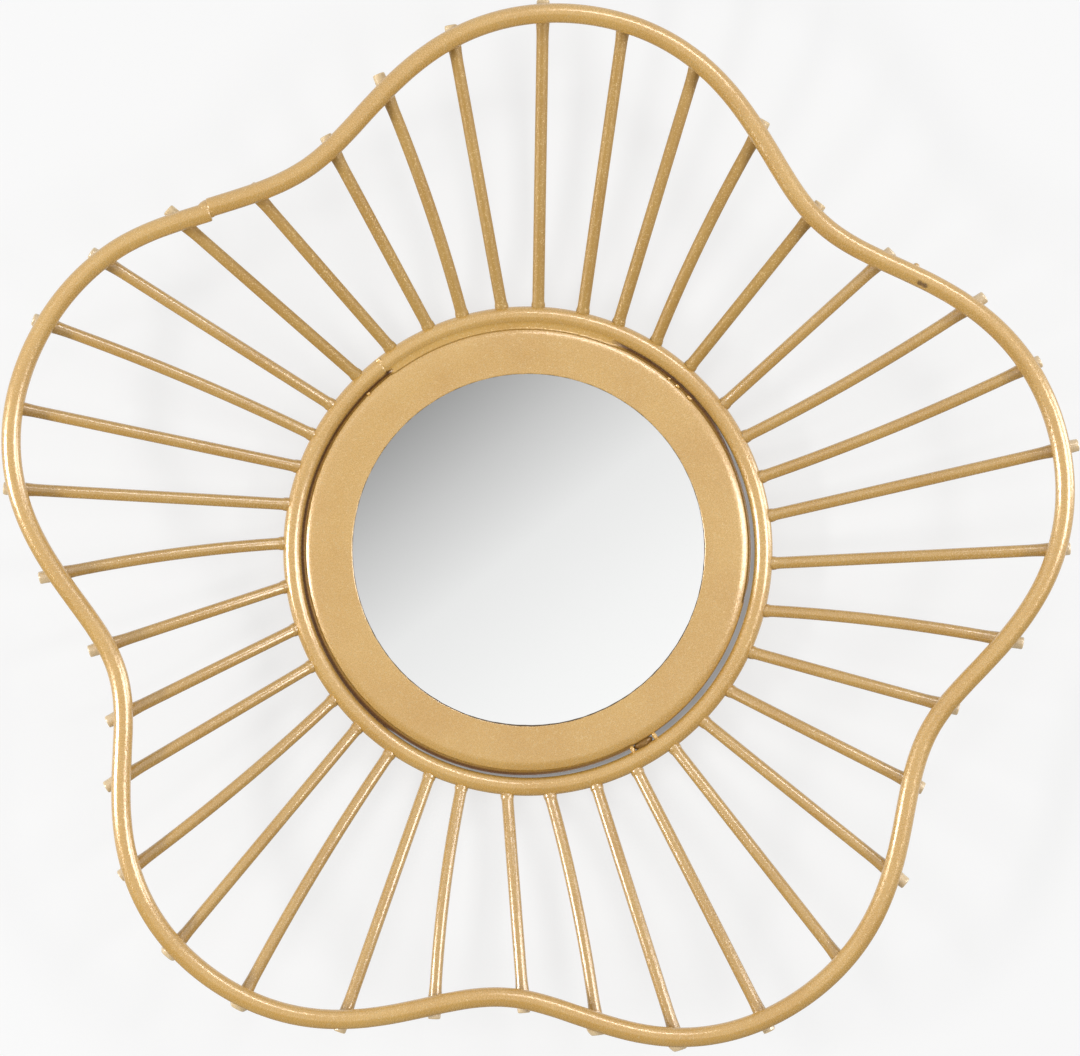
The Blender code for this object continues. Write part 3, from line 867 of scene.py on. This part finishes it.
# Painted shade: the spokes' colour is scaled by 0.84, and the duller top ones' by 0.71.
spoke_paint = gold_paint("spoke_paint", shade=0.84, roughness=0.24, metal=0.0, coat=0.3,
                         coat_roughness=0.22, pale="stub_painted_light")
dull_shaded_paint = gold_paint("dull_shaded_paint", shade=0.71, roughness=0.50, metal=0.0, gloss=1.5, coat=0.0,
                       pale="stub_painted_light")
for number in range(1, SPOKE_COUNT + 1):
    middle = np.array(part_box(f"spoke_{number:02d}")).mean(0) - HUB
    dull_and_shaded = DULL_SHADE_FROM < math.degrees(math.atan2(middle[2], middle[0])) < DULL_SHADE_TO
    rod = spoke(number, dull_shaded_paint if dull_and_shaded else spoke_paint)
    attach(rod, "root")
    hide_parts(f"spoke_{number:02d}")


# Petal rod. A thicker rod bent by hand into five petals and welded end to end at the upper left,
# where one end lies a millimetre further in. The spokes are welded to its back.
PETAL_SIDES = 28
PETAL_STOPS = 640
BLEMISHES = ((0.0963, -0.0262, 0.0652), (0.0975, -0.0262, 0.0646))
BLEMISH_REACH = 0.0011       # a small dark burn in the rod's paint, at the upper right


def petal_rod():
    """The rod along the smooth line, its two cut ends slightly worn."""
    length = np.linalg.norm(np.diff(petal_line, axis=0), axis=1).sum()
    stops, loss = worn_ends(length, ROD_EDGE, PETAL_STOPS)
    grid = rod_grid(along(petal_line, stops), PETAL_ROD - 2 * loss, PETAL_SIDES)
    return new_piece("petal_rod", closed_points(grid), grid_faces(*grid.shape[:2]),
                     gold_paint("petal_paint", burns_and_shade=[(at, BLEMISH_REACH) for at in BLEMISHES]))


petals = petal_rod()
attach(petals, "root")
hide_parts("petal_wire")


# Petal welds. A lump of weld joins each spoke to the petal rod's back, a smooth lump closes the
# rod's own joint and evens out its step, and a nub of spatter sticks out beside the upper right
# petal.
LUMP_ALONG_ROD, LUMP_ALONG_SPOKE, LUMP_DEPTH = 0.0021, 0.0019, 0.0017
JOINT_WELD = (0.0030, 0.0024, 0.0023)
JOINT_WELD_OUT = 0.0003
NUB_AT = (0.0957, -0.0232, 0.0696)
NUB_SIZE = 0.0009


def petal_welds():
    """Lumps between each spoke and the rod, turned along them."""
    places, axes = [], []
    for number in range(1, SPOKE_COUNT + 1):
        bends, length = spoke_line(f"spoke_{number:02d}")
        crossing, place, on_rod = crossing_of(bends, length)
        before, after = max(on_rod - 2, 0), min(on_rod + 2, len(petal_line) - 1)
        along_rod = petal_line[after] - petal_line[before]
        along_rod = along_rod / np.linalg.norm(along_rod)
        along_spoke = np.array([crossing * 2, 1.0, 0.0]) @ bends
        along_spoke = along_spoke / np.linalg.norm(along_spoke)
        places.append((place + petal_line[on_rod]) / 2)
        axes.append([along_rod * LUMP_ALONG_ROD, along_spoke * LUMP_ALONG_SPOKE,
                     (0.0, LUMP_DEPTH, 0.0)])
    return lumps("petal_welds", places, axes, gold_paint("weld_paint"))


def petal_joint():
    """The weld that closes the rod's joint and evens out its step, and the nub."""
    first, last = petal_line[0], petal_line[-1]
    run = petal_line[1] - petal_line[0]
    run = run / np.linalg.norm(run)
    side = np.cross(run, (0.0, 1.0, 0.0))
    middle = (first + last) / 2
    outward = side * np.sign(side @ middle)
    along_rod, across_rod, deep = JOINT_WELD
    weld = [run * along_rod, side * across_rod, (0.0, deep, 0.0)]
    nub = np.eye(3) * NUB_SIZE
    return lumps("petal_joint", [middle + JOINT_WELD_OUT * outward, np.array(NUB_AT)], [weld, nub],
                 gold_paint("joint_paint"))


for piece in (petal_welds(), petal_joint()):
    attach(piece, "root")


# Studio: a white wall, a pale floor, a soft light on either side and one above. What shines
# reflects cards of its own. The wall is clear from behind, glows a little itself so that its
# shadows stay pale, and is dim close to the frame.
WALL_GREY = 0.16
WALL_GLOW = 0.72
WALL_DIM = 0.32              # the glow's share beside the frame, where little light gets in
WALL_DIM_TO, WALL_DIM_FROM = 0.0572, 0.0602
WALL_GAP = 0.0006
FLOOR_PALE = (0.78, 0.77, 0.75, 1.0)
FLOOR_LEVEL = -0.24
WIDE = 3.0
LIGHTS = {
    "left_light": dict(place=(-0.85, -0.56, -0.20), size=(0.09, 0.45), watts=6.5),
    "right_light": dict(place=(0.80, -0.64, 0.02), size=(0.14, 0.45), watts=3.2),
    "top_light": dict(place=(0.30, -0.68, 0.64), size=(0.40, 0.09), watts=1.6),
}
CARDS = {
    "left_card": dict(place=(-0.91, -0.38, -0.05), size=(0.50, 0.26), strength=15.0),
    "right_card": dict(place=(0.72, -0.68, 0.05), size=(0.46, 0.36), strength=8.5),
    "upper_card": dict(place=(0.30, -0.68, 0.64), size=(0.60, 0.11), strength=10.0),
    "upper_left_card": dict(place=(-0.52, -0.76, 0.38), size=(0.40, 0.06), strength=2.5),
    "side_card": dict(place=(0.98, -0.06, 0.20), size=(0.60, 0.38), strength=6.0),
}


def plane(name, corners, finish):
    """A flat piece of the stage."""
    mesh = bpy.data.meshes.new(name)
    mesh.from_pydata(corners, [], [(0, 1, 2, 3)])
    mesh.materials.append(finish)
    made = bpy.data.objects.new(name, mesh)
    bpy.context.scene.collection.objects.link(made)
    return made


def wall_paint():
    """White, and clear from behind. Its glow grows from the frame's side out to the ring."""
    made, node, link, shader = material_nodes("wall_white")
    shader.inputs["Base Color"].default_value = grey(WALL_GREY)
    shader.inputs["Roughness"].default_value = 1.0
    shader.inputs["Specular IOR Level"].default_value = 0.0
    shader.inputs["Emission Color"].default_value = grey(1.0)
    place = node("ShaderNodeTexCoord")
    away = vector_step(node, link, "LENGTH", place.outputs["Object"])
    glow = carried(node, link, away.outputs["Value"], (WALL_DIM_TO, WALL_DIM_FROM),
                   (WALL_GLOW * WALL_DIM, WALL_GLOW))
    link(glow, shader.inputs["Emission Strength"])
    side = node("ShaderNodeNewGeometry")
    clear = node("ShaderNodeBsdfTransparent")
    either = node("ShaderNodeMixShader")
    link(side.outputs["Backfacing"], either.inputs["Fac"])
    link(shader.outputs["BSDF"], either.inputs[1])
    link(clear.outputs["BSDF"], either.inputs[2])
    link(either.outputs["Shader"], made.node_tree.nodes["Material Output"].inputs["Surface"])
    return made


wall = plane("wall", [(-WIDE, WALL_GAP, FLOOR_LEVEL), (WIDE, WALL_GAP, FLOOR_LEVEL),
                      (WIDE, WALL_GAP, WIDE), (-WIDE, WALL_GAP, WIDE)], wall_paint())
floor_finish, _, _, floor_shader = material_nodes("floor_pale")
floor_shader.inputs["Base Color"].default_value = FLOOR_PALE
floor_shader.inputs["Roughness"].default_value = 0.8
floor = plane("floor", [(-WIDE, -WIDE, FLOOR_LEVEL), (WIDE, -WIDE, FLOOR_LEVEL),
                        (WIDE, WIDE, FLOOR_LEVEL), (-WIDE, WIDE, FLOOR_LEVEL)], floor_finish)
for stage in (wall, floor):
    stage.visible_glossy = False
floor.visible_diffuse = False
floor.visible_shadow = False


def soft_light(name, place, size, watts):
    """A flat light turned to face the mirror's middle. It isn't seen in what shines."""
    lamp = bpy.data.lights.new(name, "AREA")
    lamp.shape = "RECTANGLE"
    lamp.size, lamp.size_y = size
    lamp.energy = watts
    made = bpy.data.objects.new(name, lamp)
    made.location = place
    made.rotation_euler = Vector(place).to_track_quat("Z", "Y").to_euler()
    made.visible_camera = False
    made.visible_glossy = False
    bpy.context.scene.collection.objects.link(made)


for name, values in LIGHTS.items():
    soft_light(name, **values)


def glow_alone(made, colour, strength):
    """Makes a material glow and do nothing else."""
    tree = made.node_tree
    glow = tree.nodes.new("ShaderNodeEmission")
    glow.inputs["Strength"].default_value = strength
    feed(tree.links.new, glow.inputs["Color"], colour)
    tree.links.new(glow.outputs["Emission"], tree.nodes["Material Output"].inputs["Surface"])
    tree.nodes.remove(tree.nodes["Principled BSDF"])


def show_in_shine_only(card):
    """Leaves a card out of the view, the light and the shadows."""
    card.visible_camera = False
    card.visible_diffuse = False
    card.visible_shadow = False


def sheen_card(name, place, size, strength):
    """A glowing card turned to face the mirror's middle. It lights nothing."""
    made = material_nodes(name)[0]
    glow_alone(made, grey(1.0), strength)
    wide, tall = size[0] / 2, size[1] / 2
    corners = [(-wide, -tall, 0), (wide, -tall, 0), (wide, tall, 0), (-wide, tall, 0)]
    card = plane(name, corners, made)
    card.location = place
    card.rotation_euler = Vector(place).to_track_quat("Z", "Y").to_euler()
    show_in_shine_only(card)


for name, values in CARDS.items():
    sheen_card(name, **values)


# Room. From one height of the sky to another, its strength goes from one value to another.
ROOM_LIGHT = ((-0.5, 0.4), (0.74, 0.84))
ROOM_SHINE = ((-0.44, -0.22), (0.22, 0.85))


def room():
    """Light from all round, a little dimmer below. What shines sees the dark floor too."""
    world = bpy.data.worlds.new("room")
    world.use_nodes = True
    nodes, link = world.node_tree.nodes, world.node_tree.links.new
    place = nodes.new("ShaderNodeTexCoord")
    split = nodes.new("ShaderNodeSeparateXYZ")
    link(place.outputs["Generated"], split.inputs[0])
    light, shine = (carried(nodes.new, link, split.outputs["Z"], heights, strengths, smooth=True)
                    for heights, strengths in (ROOM_LIGHT, ROOM_SHINE))
    ray = nodes.new("ShaderNodeLightPath")
    either = nodes.new("ShaderNodeMix")
    link(ray.outputs["Is Glossy Ray"], either.inputs["Factor"])
    link(light, either.inputs["A"])
    link(shine, either.inputs["B"])
    sky = nodes["Background"]
    sky.inputs["Color"].default_value = grey(1.0)
    link(either.outputs["Result"], sky.inputs["Strength"])
    bpy.context.scene.world = world


room()


# What the mirror shows: a card behind the camera, dark at its upper left and white below.
CARD_DISTANCE = 1.45
CARD_HALF = 0.16
CARD_SLOPE = -52.0
CARD_REACH = 0.110
CARD_TONES = ((-1.0, 0.335), (-0.75, 0.475), (-0.5, 0.62), (0.0, 0.87), (0.6, 0.96), (1.0, 1.0))


def gradient_card():
    """Grey to white along one slanting direction, by a few listed stops."""
    made, node, link, _ = material_nodes("card_grey")
    place = node("ShaderNodeTexCoord")
    slope = math.radians(CARD_SLOPE)
    along_slope = vector_step(node, link, "DOT_PRODUCT", place.outputs["Object"],
                              (math.cos(slope), 0.0, math.sin(slope)))
    share = carried(node, link, along_slope.outputs["Value"], (-CARD_REACH, CARD_REACH))
    stops = [((where + 1.0) / 2, grey(tone)) for where, tone in CARD_TONES]
    glow_alone(made, read_ramp(node, link, share, stops), 1.0)
    return made


card = plane("card", [(x, -CARD_DISTANCE, z) for x, z in (
    (-CARD_HALF, -CARD_HALF), (CARD_HALF, -CARD_HALF), (CARD_HALF, CARD_HALF),
    (-CARD_HALF, CARD_HALF))], gradient_card())
show_in_shine_only(card)

bpy.context.scene.view_settings.view_transform = "Standard"
